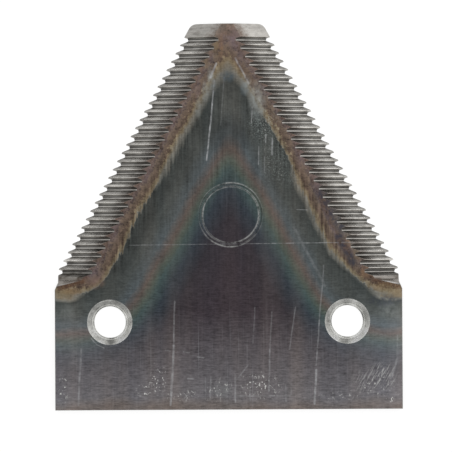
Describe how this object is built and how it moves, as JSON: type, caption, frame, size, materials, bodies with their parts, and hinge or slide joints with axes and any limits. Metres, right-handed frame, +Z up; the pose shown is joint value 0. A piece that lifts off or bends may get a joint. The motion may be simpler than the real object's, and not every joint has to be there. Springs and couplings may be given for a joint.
{
  "type": "mower sickle section",
  "caption": "Flat triangular mower knife section with two bevelled, serrated cutting edges, a blunt tip and countersunk rivet holes by its straight heel.",
  "frame": {"origin": "midway between the two rivet holes, on the underside", "axes": "+Y along the centre line towards the tip, +Z up out of the bevelled and countersunk top face, +X to the right seen from above"},
  "size_m": [0.0742, 0.0825, 0.0027],
  "materials": {
    "blade": "dark rolled steel with heat tint, bright ground cutting edges"
  },
  "bodies": {
    "root": {"blade": "blade"}
  },
  "joints": []
}
